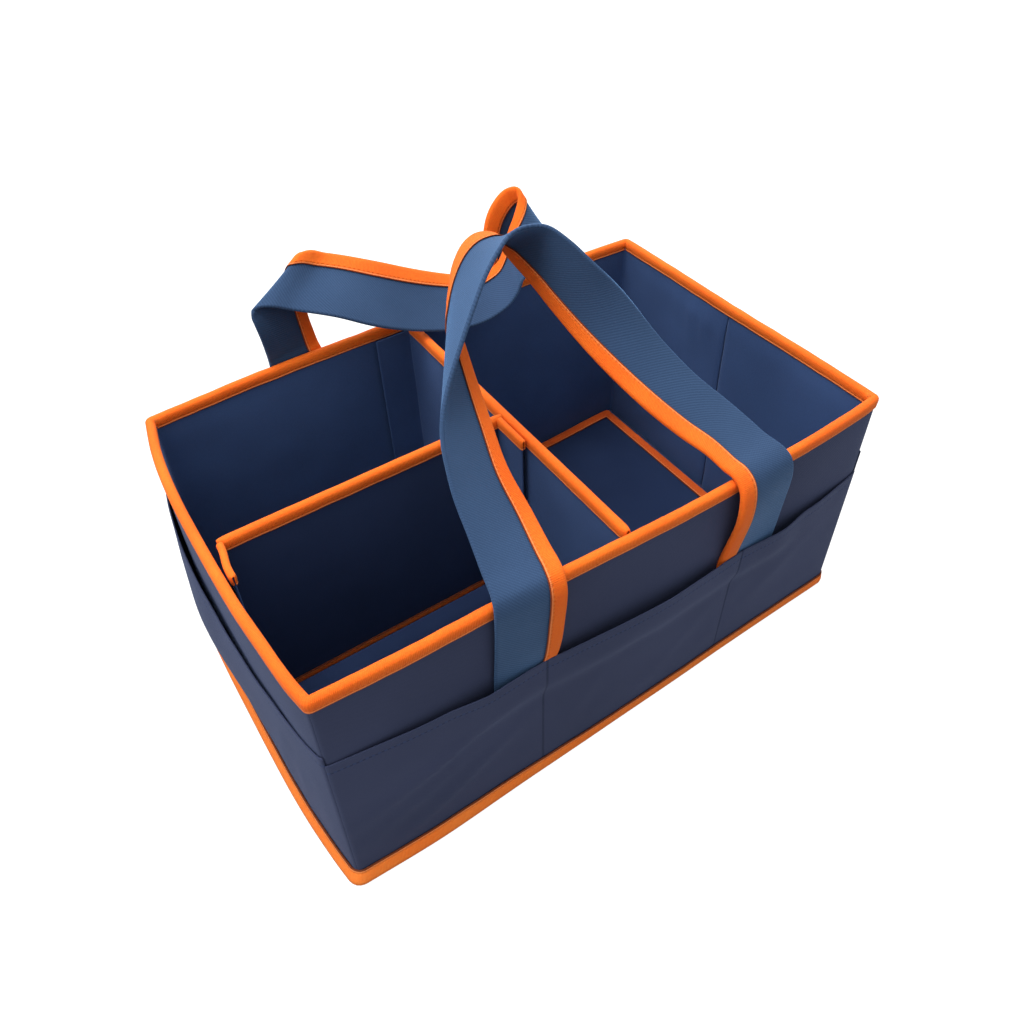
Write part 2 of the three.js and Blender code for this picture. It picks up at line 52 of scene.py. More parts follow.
# ---------------------------------------------------------------- sizes
HX, HY = 189.0, 119.15          # wall faces, half length and half width
HEIGHT = 177.8
WALL_FOOT, WALL_TOP = 1.5, 174.6
FABRIC, LINING, TAPE = 0.8, 0.6, 1.2
WALL_SHEET = 4.0
RIM_TAPE = 7.8
STRAP, STRAP_TAPE = 2.4, 0.7
TAPE_SHARE = 0.744              # where the tape's border lies across a strap
DIVIDER_FOOT, DIVIDER_TOP = 33.8, 176.3
CROSS_X, LONG_Y = -7.0, -2.5
CALM = (168, 154)               # waves in a sheet die out between these heights
STRIP_FOOT, STRIP_TOP = 43.8, HEIGHT - 16

# The soft walls stand out of their straight places: the place along a wall, then how far it stands
# out at its foot and at its rim.
LEFT_BOW = [(-119, 2, 2.5), (-102, 4.5, 5.6), (-74, 7.5, 8.1), (-43, 9.2, 10.4)]
LEFT_BOW += [(24, 10.3, 11.6), (62, 10.5, 10.6), (91, 9.5, 7.7), (119, 5, 2.5)]
RIGHT_BOW = [(-119, 0, 2.2), (-56, 0, 2.5), (0, 0, 1.5), (60, 0, 1.8), (119, 0, 1.2)]
FRONT_BOW = [(-189, 2, 1.5), (-142, 3.8, 4.0), (-88, 3.5, 4.9), (-26, 4, 7.4), (27, 3.6, 9.5)]
FRONT_BOW += [(90, 2, 9.6), (138, 1.2, 8.6), (177, 0.8, 6.0), (189, 0.5, 4.0)]
BACK_BOW = [(-189, 2.5, 3.0), (-127, 4, 7.5), (-99, 4.5, 8.5), (-40, 5, 9.0), (50, 5, 7.5)]
BACK_BOW += [(106, 5.5, 6.0), (166, 8.8, 5.0), (189, 9, 3.5)]
BOW_TOP = 178                   # the height at which a wall stands out as far as at its rim
END_REACH, LONG_REACH = (100, 186), (40, 116)    # from the middle, where the bow sets in


# ---------------------------------------------------------------- small helpers
def smooth(a, b, x):
    t = min(1.0, max(0.0, (x - a) / (b - a)))
    return t * t * (3 - 2 * t)


def bump_at(p, size, seed=0.0):
    return noise.noise(Vector((p[0] / size + seed, p[1] / size - seed, p[2] / size + 3 * seed)))


def steps(a, b, step, edge=0.0):
    """Values from a to b, about a step apart, with one close to each end."""
    count = max(1, round(abs(b - a) / step))
    values = [a + (b - a) * i / count for i in range(count + 1)]
    if edge:
        e = edge if b > a else -edge
        values = [a, a + e] + values[1:-1] + [b - e, b]
    return values


def bow(table, along, up):
    """How far a wall stands out, from its table: a smooth curve through the table's places."""
    along = min(table[-1][0], max(table[0][0], along))
    up = min(1.0, max(0.0, up / BOW_TOP))
    k = 0
    while k < len(table) - 2 and along > table[k + 1][0]:
        k += 1

    def value(i):
        return table[i][1] + (table[i][2] - table[i][1]) * up

    def slope(i):
        low, high = max(0, i - 1), min(len(table) - 1, i + 1)
        return (value(high) - value(low)) / (table[high][0] - table[low][0])

    span = table[k + 1][0] - table[k][0]
    t = (along - table[k][0]) / span
    curve = (2 * t**3 - 3 * t**2 + 1) * value(k) + (3 * t**2 - 2 * t**3) * value(k + 1)
    return curve + span * ((t**3 - 2 * t**2 + t) * slope(k) + (t**3 - t**2) * slope(k + 1))


def warp(p):
    """Where a point of the straight box lies once its walls stand out. The middle stays put."""
    x, y, z = p
    if x < -END_REACH[0]:
        x -= bow(LEFT_BOW, p.y, z) * smooth(*END_REACH, -p.x)
    if x > END_REACH[0]:
        x += bow(RIGHT_BOW, p.y, z) * smooth(*END_REACH, p.x)
    if y < -LONG_REACH[0]:
        y -= bow(FRONT_BOW, p.x, z) * smooth(*LONG_REACH, -p.y)
    if y > LONG_REACH[0]:
        y += bow(BACK_BOW, p.x, z) * smooth(*LONG_REACH, p.y)
    return Vector((x, y, z))


def still(p):
    return p


def spline(points, per):
    """A centripetal curve through the points, with the given count of steps to each stretch."""
    p = [points[0] * 2 - points[1]] + list(points) + [points[-1] * 2 - points[-2]]
    out = []
    for k in range(1, len(p) - 2):
        t0 = 0.0
        t1 = t0 + max(1e-6, (p[k] - p[k - 1]).length ** 0.5)
        t2 = t1 + max(1e-6, (p[k + 1] - p[k]).length ** 0.5)
        t3 = t2 + max(1e-6, (p[k + 2] - p[k + 1]).length ** 0.5)
        for s in range(per):
            t = t1 + (t2 - t1) * s / per
            a1 = (p[k - 1] * (t1 - t) + p[k] * (t - t0)) / (t1 - t0)
            a2 = (p[k] * (t2 - t) + p[k + 1] * (t - t1)) / (t2 - t1)
            a3 = (p[k + 1] * (t3 - t) + p[k + 2] * (t - t2)) / (t3 - t2)
            b1 = (a1 * (t2 - t) + a2 * (t - t0)) / (t2 - t0)
            b2 = (a2 * (t3 - t) + a3 * (t - t1)) / (t3 - t1)
            out.append((b1 * (t2 - t) + b2 * (t - t1)) / (t2 - t1))
    out.append(Vector(points[-1]))
    return out


def normals(rows, closed):
    n, m = len(rows), len(rows[0])
    result = []
    for i in range(n):
        line = []
        for j in range(m):
            if closed:
                a, b = rows[(i - 1) % n][j], rows[(i + 1) % n][j]
            else:
                a, b = rows[max(0, i - 1)][j], rows[min(n - 1, i + 1)][j]
            c, d = rows[i][max(0, j - 1)], rows[i][min(m - 1, j + 1)]
            line.append((b - a).cross(d - c).normalized())
        result.append(line)
    return result


def cloth_piece(name, rows, thickness, material, closed=False, uv=None, bend=warp):
    """A sheet with a rounded rim all round, from the points of its middle surface in mm.

    Its UV map gives each point's place on the flat sheet in metres, first along the rows and
    then across. For a tape the second value is the distance from its nearer stitched border.
    """
    rows = [[bend(p) for p in row] for row in rows]
    n, m = len(rows), len(rows[0])
    facing = normals(rows, closed)
    half = thickness / 2
    verts = [rows[i][j] + facing[i][j] * half for i in range(n) for j in range(m)]
    verts += [rows[i][j] - facing[i][j] * half for i in range(n) for j in range(m)]
    layer = n * m
    along = [0.0]
    for i in range(1, n + 1):
        a, b = rows[i - 1], rows[i % n]
        along.append(along[-1] + (b[m // 2] - a[m // 2]).length)
    across = [[0.0] * m for _ in range(n)]
    for i in range(n):
        for j in range(1, m):
            across[i][j] = across[i][j - 1] + (rows[i][j] - rows[i][j - 1]).length
    where = {}
    for i in range(n):
        for j in range(m):
            place = uv(i, j, along[i], across[i][j], across[i][-1]) if uv else None
            place = place or (along[i], across[i][j])
            where[i * m + j] = where[layer + i * m + j] = place
    faces, wraps = [], []
    last = n if closed else n - 1
    for i in range(last):
        k = (i + 1) % n
        for j in range(m - 1):
            a, b, c, d = i * m + j, i * m + j + 1, k * m + j + 1, k * m + j
            faces.append((a, d, c, b))
            faces.append((layer + a, layer + b, layer + c, layer + d))
            wraps += [k == 0, k == 0]
    if closed:
        loops = [[(i, 0) for i in range(n)], [(i, m - 1) for i in range(n - 1, -1, -1)]]
    else:
        loop = [(0, j) for j in range(m - 1, -1, -1)] + [(i, 0) for i in range(1, n)]
        loop += [(n - 1, j) for j in range(1, m)] + [(i, m - 1) for i in range(n - 2, 0, -1)]
        loops = [loop]
    for loop in loops:
        rim = []
        for i, j in loop:
            out = Vector()
            if j == 0:
                out += (rows[i][0] - rows[i][1]).normalized()
            if j == m - 1:
                out += (rows[i][j] - rows[i][j - 1]).normalized()
            if not closed and i == 0:
                out += (rows[0][j] - rows[1][j]).normalized()
            if not closed and i == n - 1:
                out += (rows[i][j] - rows[i - 1][j]).normalized()
            rim.append(len(verts))
            where[len(verts)] = where[i * m + j]
            verts.append(rows[i][j] + out.normalized() * half * 0.85)
        count = len(loop)
        for s in range(count):
            e = (s + 1) % count
            a = loop[s][0] * m + loop[s][1]
            b = loop[e][0] * m + loop[e][1]
            wrap = closed and s == count - 1
            faces.append((a, rim[s], rim[e], b))
            faces.append((layer + b, rim[e], rim[s], layer + a))
            wraps += [wrap, wrap]
    mesh = bpy.data.meshes.new(name)
    mesh.from_pydata([v * MM for v in verts], [], faces)
    layer_uv = mesh.uv_layers.new(name="cloth")
    total = along[n]
    for polygon, wrap in zip(mesh.polygons, wraps):
        polygon.use_smooth = True
        for index in polygon.loop_indices:
            u, v = where[mesh.loops[index].vertex_index]
            if wrap and u < total / 2:
                u += total
            layer_uv.data[index].uv = (u * MM, v * MM)
    mesh.materials.append(material)
    piece = bpy.data.objects.new(name, mesh)
    bpy.context.scene.collection.objects.link(piece)
    return piece


def settle(piece, body, slot, *nodes):
    """A piece rides on its body and stands for its nodes, which it hides. Its slot is not used."""
    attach(piece, body)
    if nodes:
        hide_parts(*nodes)


def tape_uv(i, j, u, v, width):
    return u, min(v, width - v)


# ---------------------------------------------------------------- materials
def fill(node, **values):
    """Sets a node's inputs, by their names with _ for each space."""
    for key, value in values.items():
        node.inputs[key.replace("_", " ")].default_value = value


def new_material(name, roughness, sheen, tint=(1, 1, 1)):
    """A material, its shader and the calls that add nodes to it."""
    material = bpy.data.materials.new(name)
    material.use_nodes = True
    shader = material.node_tree.nodes["Principled BSDF"]
    fill(shader, Roughness=roughness, Specular_IOR_Level=0.25)
    fill(shader, Sheen_Weight=sheen, Sheen_Roughness=0.5, Sheen_Tint=(*tint, 1))
    return material, shader, Shade(material.node_tree)


class Shade:
    """Short calls for the nodes that the materials share."""

    def __init__(self, tree):
        self.tree = tree

    def node(self, kind, **settings):
        item = self.tree.nodes.new(kind)
        for key, value in settings.items():
            setattr(item, key, value)
        return item

    def feed(self, socket, value):
        if isinstance(value, bpy.types.NodeSocket):
            self.tree.links.new(value, socket)
        else:
            socket.default_value = value

    def math(self, operation, a, b=0.0, clamp=False):
        item = self.node("ShaderNodeMath", operation=operation, use_clamp=clamp)
        self.feed(item.inputs[0], a)
        self.feed(item.inputs[1], b)
        return item.outputs[0]

    def plus(self, a, b, clamp=False):
        return self.math("ADD", a, b, clamp)

    def minus(self, a, b):
        return self.math("SUBTRACT", a, b)

    def times(self, a, b):
        return self.math("MULTIPLY", a, b)

    def gap(self, a, b):
        return self.math("ABSOLUTE", self.minus(a, b))

    def wave(self, value, length):
        return self.math("SINE", self.times(value, 2 * math.pi / length))

    def noise(self, coordinate, scale, detail=2.0, rough=0.5):
        item = self.node("ShaderNodeTexNoise")
        self.feed(item.inputs["Vector"], coordinate)
        fill(item, Scale=scale, Detail=detail, Roughness=rough)
        return item.outputs["Fac"]

    def spread(self, value, low, high, to_low=0.0, to_high=1.0):
        item = self.node("ShaderNodeMapRange", clamp=True)
        self.feed(item.inputs["Value"], value)
        fill(item, From_Min=low, From_Max=high, To_Min=to_low, To_Max=to_high)
        return item.outputs["Result"]

    def mix(self, share, a, b):
        item = self.node("ShaderNodeMix", data_type="RGBA")
        self.feed(item.inputs["Factor"], share)
        self.feed(item.inputs[6], (*a, 1) if isinstance(a, tuple) and len(a) == 3 else a)
        self.feed(item.inputs[7], (*b, 1) if isinstance(b, tuple) and len(b) == 3 else b)
        return item.outputs[2]

    def cloth_uv(self):
        return self.node("ShaderNodeUVMap", uv_map="cloth").outputs["UV"]

    def place(self):
        return self.node("ShaderNodeTexCoord").outputs["Object"]

    def parts(self, vector):
        item = self.node("ShaderNodeSeparateXYZ")
        self.feed(item.inputs[0], vector)
        return item.outputs

    def seen(self):
        """1 for what the camera sees, also in a reflection or through a piece, and otherwise 0."""
        path = self.node("ShaderNodeLightPath").outputs
        seen = self.math("MAXIMUM", path["Is Camera Ray"], path["Is Glossy Ray"])
        return self.math("MAXIMUM", seen, path["Is Transmission Ray"])

    def dress(self, shader, colour, grain, low, high, height, strength, distance):
        """A shader's colour, its roughness from low to high with the grain, and its relief."""
        self.feed(shader.inputs["Base Color"], colour)
        self.feed(shader.inputs["Roughness"], self.spread(grain, 0.2, 0.8, low, high))
        lift = self.node("ShaderNodeBump")
        fill(lift, Strength=strength, Distance=distance)
        self.feed(lift.inputs["Height"], height)
        self.feed(shader.inputs["Normal"], lift.outputs[0])


def srgb(text):
    """A colour from its usual six-digit form, as linear light."""
    values = [int(text[k : k + 2], 16) / 255 for k in (0, 2, 4)]
    return tuple(v / 12.92 if v <= 0.04045 else ((v + 0.055) / 1.055) ** 2.4 for v in values)


def woven(
    name, dark, light, pitch, roughness, sheen, bump,
    hem=None, ribs=0.2, lines=(), gloss=0.2, tint="8fa6d6",
):
    """Twill cloth: fine diagonal ribs of thread, slubs, and slow changes of colour.

    The ribs lie by the UV map, in metres. hem is the distance of a row of stitches from the
    sheet's first border and lines are the places of dark lines across the sheet, in metres:
    the dark joins of seams, or painted shade along a fold.
    """
    material, shader, s = new_material(name, roughness, sheen, srgb(tint))
    fill(shader, Specular_IOR_Level=gloss, Specular_Tint=(0.22, 0.47, 1.0, 1))
    place, axes = s.place(), s.parts(s.cloth_uv())
    u, v = axes[0], axes[1]
    turn = 2 * math.pi / pitch
    rib = s.math("SINE", s.times(s.plus(u, v), turn))
    thread = s.math("SINE", s.times(s.minus(u, v), turn * 1.5))
    weave = s.plus(s.times(rib, 0.3), s.times(thread, 0.2))
    weave = s.plus(weave, 0.5)
    slow = s.noise(place, 9.0, 3.0)
    fleck = s.noise(place, 900.0, 2.0, 0.7)
    tone = s.times(s.spread(slow, 0.3, 0.7), 0.45)
    tone = s.plus(tone, s.times(fleck, 0.35))
    tone = s.plus(tone, s.times(s.minus(weave, 0.5), ribs * 2))
    tone = s.plus(tone, 0.1, True)
    colour = s.mix(tone, srgb(dark), srgb(light))
    height = s.plus(s.times(weave, 0.6), s.times(fleck, 0.5))
    # darkened along each line: a seam's dark join, or painted shade in the end lining's fold
    for seam in lines:
        off = s.gap(u, seam)
        line = s.spread(off, 0.0003, 0.0012, 1.0, 0.0)
        colour = s.mix(s.times(line, 0.5), colour, srgb("0c0f1c"))
        height = s.minus(height, s.times(line, 1.5))
    if hem:
        off = s.gap(v, hem)
        line = s.spread(off, 0.0003, 0.0009, 1.0, 0.0)
        dash = s.wave(u, 0.0032)
        stitch = s.times(line, s.spread(dash, -0.2, 0.1))
        colour = s.mix(s.times(line, 0.5), colour, srgb("171c30"))
        colour = s.mix(s.times(stitch, 0.6), colour, srgb("3c4a73"))
        height = s.minus(height, s.times(line, 1.5))
        height = s.plus(height, s.times(stitch, 1.2))
    s.dress(shader, colour, fleck, roughness - 0.1, roughness + 0.05, height, bump, 0.0003)
    return material


def binding(name, dark, light, stitch_at=0.0017):
    """Woven edge tape: ribs across it, fuzz, and a row of stitches along each border, with a
    painted highlight just inside each border and a painted shadow along the border itself.
    """
    material, shader, s = new_material(name, 0.78, 0.2, srgb("ffb070"))
    place, axes = s.place(), s.parts(s.cloth_uv())
    u, v = axes[0], axes[1]
    rib = s.wave(u, 0.0009)
    cross = s.wave(v, 0.0006)
    fuzz = s.noise(place, 700.0, 3.0, 0.7)
    slow = s.noise(place, 22.0, 3.0)
    tone = s.plus(s.times(fuzz, 0.5), s.times(slow, 0.45))
    tone = s.plus(tone, s.times(rib, 0.04), True)
    colour = s.mix(s.spread(tone, 0.25, 0.75), srgb(dark), srgb(light))
    off = s.gap(v, stitch_at)
    groove = s.spread(off, 0.0002, 0.0009, 1.0, 0.0)
    dash = s.spread(s.wave(u, 0.003), -0.3, 0.1)
    stitch = s.times(groove, dash)
    # painted shadow: a dark line along each border, where the tape meets the cloth
    border = s.spread(v, 0.0002, 0.0006, 1.0, 0.0)
    # painted highlight: a light line just inside each border of the tape
    painted_highlight = s.spread(s.gap(v, 0.0009), 0.0001, 0.0005, 1.0, 0.0)
    colour = s.mix(s.times(groove, 0.3), colour, srgb("b84a1a"))
    colour = s.mix(s.times(stitch, 0.5), colour, srgb("f07a28"))
    # the painted highlight
    colour = s.mix(s.times(painted_highlight, 0.45), colour, srgb("ffb27a"))
    # the painted shadow along the borders
    colour = s.mix(s.times(border, 0.9), colour, srgb("4a1a10"))
    height = s.plus(s.times(rib, 0.25), s.times(cross, 0.12))
    height = s.plus(height, s.times(fuzz, 1.0))
    height = s.minus(height, s.times(groove, 1.6))
    height = s.plus(height, s.times(stitch, 1.1))
    s.dress(shader, colour, fuzz, 0.7, 0.88, height, 0.7, 0.0004)
    return material


def grey_board():
    """Pressed board: grey fibres and a slightly mottled, rough face."""
    material, shader, s = new_material("pressed_board", 0.92, 0.0)
    place = s.place()
    fibre = s.noise(place, 420.0, 4.0, 0.65)
    slow = s.noise(place, 18.0, 2.0)
    tone = s.plus(s.times(fibre, 0.6), s.times(slow, 0.4))
    colour = s.mix(s.spread(tone, 0.3, 0.7), srgb("9a9284"), srgb("c4bdae"))
    s.dress(shader, colour, fibre, 0.85, 0.98, fibre, 0.4, 0.0003)
    return material


def hook_loop():
    """Hook-and-loop strip: a dark ground covered in small tufts."""
    material, shader, s = new_material("hook_loop_strip", 0.95, 0.3, srgb("6a7090"))
    uv = s.cloth_uv()
    cells = s.node("ShaderNodeTexVoronoi")
    s.feed(cells.inputs["Vector"], uv)
    fill(cells, Scale=1100.0)
    tuft = s.spread(cells.outputs["Distance"], 0.0, 0.6, 1.0, 0.0)
    fleck = s.noise(uv, 500.0, 2.0)
    tone = s.plus(s.times(tuft, 0.6), s.times(fleck, 0.3), True)
    s.dress(shader, s.mix(tone, srgb("0b0d18"), srgb("262b40")), fleck, 0.88, 0.98, tuft, 0.8, 0.0006)
    return material


# dark and light colour, the threads' pitch in metres, roughness, sheen, relief
OUTSIDE = ("2f3347", "444964", 0.0011, 0.86, 0.1, 0.35)
INSIDE = ("2a3a5c", "46608f", 0.0009, 0.84, 0.25, 0.3)
HEM = 0.0065                    # from a pocket's top to its stitches, in metres
PANEL = woven("navy_panel", *OUTSIDE)
POCKET_SEAMS = {"front_pockets": (0.124, 0.268), "right_pocket": ()}
POCKET_SEAMS |= {"back_pockets": (0.115, 0.271), "left_pocket": ()}
POCKETS = [woven("navy_" + k, *OUTSIDE, HEM, lines=seams) for k, seams in POCKET_SEAMS.items()]
LINER = woven("navy_lining", *INSIDE)
# a darker copy of the lining for the long divider: painted shade on its face in the front part of the
# box
LONG_LINER_PAINTED_SHADE = woven("navy_long_divider_painted_shade", "1c2740", "303f62", 0.0009, 0.84, 0.2, 0.3)
# a darker copy of the lining for the insert's cover: painted shade at the bottom of the box
INSERT_PAINTED_SHADE = woven("navy_insert_painted_shade", "1b233c", "2c3a5a", 0.0009, 0.84, 0.15, 0.3)
# its dark line along the middle fold is painted shade in the crease
FOLDED_LINER = woven("navy_end_lining", *INSIDE, lines=(0.1217,))
STRAP_CLOTH = ("243148", "3c5272", 0.0019, 0.7, 0.5, 0.6)
WEBBING = woven("navy_strap", *STRAP_CLOTH, ribs=0.26, gloss=0.14, tint="7fb2ee")
ORANGE = binding("orange_tape", "ee5a0c", "fc7e20")
# a brighter copy of the orange tape for the foot: painted light near the floor
FOOT_ORANGE_PAINTED_LIGHT = binding("orange_foot_tape_painted_light", "ff7016", "ff9440")
# a darker, redder copy of the orange tape for the insert: painted shade low inside the box
DEEP_ORANGE_PAINTED_SHADE = binding("orange_insert_tape_painted_shade", "d4480e", "f0702a")
BOARD = grey_board()
STRIP = hook_loop()


# ---------------------------------------------------------------- walls
def side(k, s, out, up):
    """A point on wall k: 0 front, 1 right, 2 back, 3 left. s runs anticlockwise from above."""
    if k == 0:
        return Vector((s, -HY - out, up))
    if k == 1:
        return Vector((HX + out, s, up))
    if k == 2:
        return Vector((-s, HY + out, up))
    return Vector((-HX - out, -s, up))


def panel_plan(half, out, radius, step):
    """The plan of a wall sheet: straight, and turned 45 degrees at each corner."""
    centre = half + out - radius
    arc = [math.radians(a) for a in (15, 30, 43)]
    right = [(centre + radius * math.sin(a), out - radius + radius * math.cos(a)) for a in arc]
    line = [(x, out) for x in steps(-centre, centre, step)]
    return [(-x, o) for x, o in reversed(right)] + line + right


NAMES = ["front", "right", "back", "left"]
HALVES = [HX, HY, HX, HY]


def fold_line(k, s, inwards):
    """The end walls fold along their middle line: a shallow groove between two flat halves."""
    if k not in (1, 3):
        return 0.0
    tent = 1.3 * max(0.0, 1 - abs(s) / HY)
    groove = -1.3 * math.exp(-((s / 1.5) ** 2))
    return (tent + groove) * inwards


def crease(s, up, angle, width, depth):
    a = math.radians(angle)
    return s, up, math.cos(a), math.sin(a), width, depth


def creased(creases, s, up):
    total = 0.0
    for cs, cu, ds, du, width, depth in creases:
        off = (s - cs) * -du + (up - cu) * ds
        reach = (s - cs) * ds + (up - cu) * du
        total += depth * math.exp(-((off / width) ** 2)) * math.exp(-((reach / 42) ** 2))
    return total


RIGHT_CREASES = [crease(88, 44, 118, 5, 1.5), crease(62, 40, 138, 6, 1.3), crease(40, 70, 120, 6, 1.0)]
FOLD_AT = 2.5                   # the end walls' fold lies this far from their middle
outers = []
for k in range(4):
    name, half = NAMES[k], HALVES[k]
    plan = panel_plan(half, -FABRIC / 2, 2.6, 7)
    rows = []
    for s, out in plan:
        row = []
        for up in steps(WALL_FOOT, WALL_TOP, 7, 1):
            wave = 0.35 * (1 + bump_at((s, up, 40 * k), 34)) * smooth(half, half - 12, abs(s))
            row.append(side(k, s, out + wave * smooth(0, 20, up) * smooth(*CALM, up), up))
        rows.append(row)
    outer = cloth_piece(name + "_outer_cloth", rows, FABRIC, PANEL)
    settle(outer, "caddy_body", "panel_fabric", name + "_outer_fabric")
    outers.append((outer, half))
    plan = panel_plan(half, -WALL_SHEET + LINING / 2, 3.0, 5)
    if k % 2:
        plan = sorted(plan + [(FOLD_AT + d, plan[5][1]) for d in (-1.8, -0.9, 0.02, 0.9, 1.8)])
    rows = []
    for s, out in plan:
        row = []
        for up in steps(WALL_FOOT + 1, WALL_TOP, 5, 1):
            wave = 0.4 * (1 + bump_at((s, up, 40 * k + 7), 30)) * smooth(half, half - 14, abs(s))
            if k == 1:
                near = math.exp(-(((s - 30) / 26) ** 2)) * smooth(118, 150, up)
                wave += 0.7 * near * (1 + math.sin(s / 2.6 + 2.2 * bump_at((s, up, 3), 22)))
                wave += creased(RIGHT_CREASES, s, up)
            inward = wave * smooth(*CALM, up) + fold_line(k, s - FOLD_AT, smooth(172, 158, up))
            row.append(side(k, s, out - max(0.0, inward), up))
        rows.append(row)
    start = [s for s, out in plan]
    lining = cloth_piece(
        name + "_inner_cloth",
        rows,
        LINING,
        FOLDED_LINER if k % 2 else LINER,
        uv=lambda i, j, u, v, width: (start[i] + half, v),
    )
    settle(lining, "caddy_body", "panel_fabric", name + "_lining")

# The walls stand out, so their boards are bent with them: one in each long wall, two in each end.
for k in range(4):
    length = HALVES[k] - 3.4
    spans = [(-length, -0.15, "_board_1"), (0.15, length, "_board_2")]
    for start, end, suffix in spans if k % 2 else [(-length, length, "_board")]:
        rows = []
        for s in steps(start, end, 8, 1):
            rows.append([side(k, s, -2.1, up) for up in steps(2.3, 174.0, 8, 1)])
        piece = cloth_piece(NAMES[k] + "_bent" + suffix, rows, 1.9, BOARD)
        settle(piece, "caddy_body", "board", NAMES[k] + suffix)
    outer, half = outers[k]

# ---------------------------------------------------------------- edge tapes of the box


def ring_rows(profile, half_x, half_y, radius_at, step, wobble=0.0, seed=0.0):
    """Rows of a tape that runs round the box: each point of its profile runs round on its own
    rounded rectangle."""
    rows = []
    quarter = [math.radians(a) for a in (9, 27, 45, 63, 81)]
    order = [(1, -1, -90), (1, 1, 0), (-1, 1, 90), (-1, -1, 180)]
    for k, (sx, sy, turn) in enumerate(order):
        for a in quarter:
            row = []
            for out, up in profile:
                r = radius_at(out)
                cx, cy = sx * (half_x + out - r), sy * (half_y + out - r)
                t = a + math.radians(turn)
                row.append(Vector((cx + r * math.cos(t), cy + r * math.sin(t), up)))
            rows.append(row)
        length = 2 * (half_y if k % 2 == 0 else half_x)
        count = round(length / step)
        for q in range(count + 1):
            share = q / count
            row = []
            for out, up in profile:
                r = radius_at(out)
                ax, ay = half_x + out, half_y + out
                if k == 0:
                    p = Vector((ax, (-1 + 2 * share) * (ay - r), up))
                elif k == 1:
                    p = Vector(((1 - 2 * share) * (ax - r), ay, up))
                elif k == 2:
                    p = Vector((-ax, (1 - 2 * share) * (ay - r), up))
                else:
                    p = Vector(((-1 + 2 * share) * (ax - r), -ay, up))
                if wobble:
                    p = p + Vector((0, 0, wobble * bump_at(p, 11, seed)))
                row.append(p)
            rows.append(row)
    return rows


def over_the_top(inner, outer, top, leg, puff):
    """A tape's profile folded over a sheet's top: pressed at its stitches and puffed above."""
    middle, radius = (inner + outer) / 2, (outer - inner) / 2
    low = top - leg
    crown = top - radius * 0.95
    rise = [(0, -0.1), (1.0, 0.0), (1.7, -0.12), (2.5, 0.05), (4.2, puff)]
    left = [(inner - o, low + h) for h, o in rise] + [(inner - puff, crown - 0.8)]
    right = [(outer + o, low + h) for h, o in rise] + [(outer + puff, crown - 0.8)]
    arc = []
    for a in range(165, 0, -15):
        t = math.radians(a)
        arc.append((middle + (radius + puff * 0.6) * math.cos(t), crown + radius * 0.95 * math.sin(t)))
    return left + arc + right[::-1]


rim_profile = over_the_top(-4.3, 0.5, HEIGHT - 0.7, RIM_TAPE, 0.2)


def rim_radius(out):
    return max(0.6, 0.6 + (out + 4.3) * 0.45)


rows = ring_rows(rim_profile, HX, HY, rim_radius, 4, 0.35, 0.3)
rim = cloth_piece("rim_binding", rows, 0.8, ORANGE, closed=True, uv=tape_uv)
settle(rim, "caddy_body", "edge_tape", "rim_tape")

# The foot's tape stands off the wall at its lower border, most at the left end.
foot_profile = [(-12, 0.6), (-10.4, 0.6), (-9.5, 0.6), (-4, 0.6), (0.0, 0.6), (1.4, 0.75)]
foot_profile += [(2.15, 1.5), (2.3, 3.0), (2.3, 5.4), (2.2, 6.4), (2.05, 7.3), (2.1, 8.2)]
foot_profile += [(2.1, 9.0)]
loose_profile = foot_profile[:4] + [(3.0, 0.6), (5.0, 0.75), (5.7, 1.4), (5.2, 3.2), (3.9, 5.6)]
loose_profile += [(3.2, 6.7), (2.7, 7.5), (2.3, 8.4), (2.1, 9.2)]


def foot_radius(out):
    return max(1.0, 5.2 + out * 0.4)


tight = ring_rows(foot_profile, HX, HY, foot_radius, 5)
loose = ring_rows(loose_profile, HX, HY, foot_radius, 5)
rows = []
for near, far in zip(tight, loose):
    row = []
    for j, (a, b) in enumerate(zip(near, far)):
        p = a.lerp(b, 0.12 + 0.88 * smooth(20, -150, a.x))
        row.append(p + Vector((0, 0, 0.5 * bump_at(a, 16, 2.0) * max(0, j - 5) / 7)))
    rows.append(row)
foot = cloth_piece("foot_binding", rows, TAPE, FOOT_ORANGE_PAINTED_LIGHT, closed=True, uv=tape_uv)
settle(foot, "caddy_body", "edge_tape", "foot_tape")

# ---------------------------------------------------------------- floor and insert
FLOOR_X, FLOOR_Y = 184.6, 114.7
rows = []
for x in steps(-FLOOR_X, FLOOR_X, 12, 1):
    row = []
    for y in steps(-FLOOR_Y, FLOOR_Y, 12, 1):
        edge = min(FLOOR_X - abs(x), FLOOR_Y - abs(y))
        low = 1.9 if edge < 8.0 else 1.9 - 0.5 * smooth(8.0, 12.0, edge)
        row.append(Vector((x, y, low)))
    rows.append(row)
floor_sheet = cloth_piece("floor_sheet", rows, FABRIC, PANEL)
settle(floor_sheet, "caddy_body", "panel_fabric", "floor_panel")

INSERT_X, INSERT_Y = 180.9, 111.05


def laid(p):
    """The insert follows the walls, and its right end stops a little short of its wall."""
    p = warp(p)
    p.x -= 4.0 * smooth(110, 180, p.x)
    return p


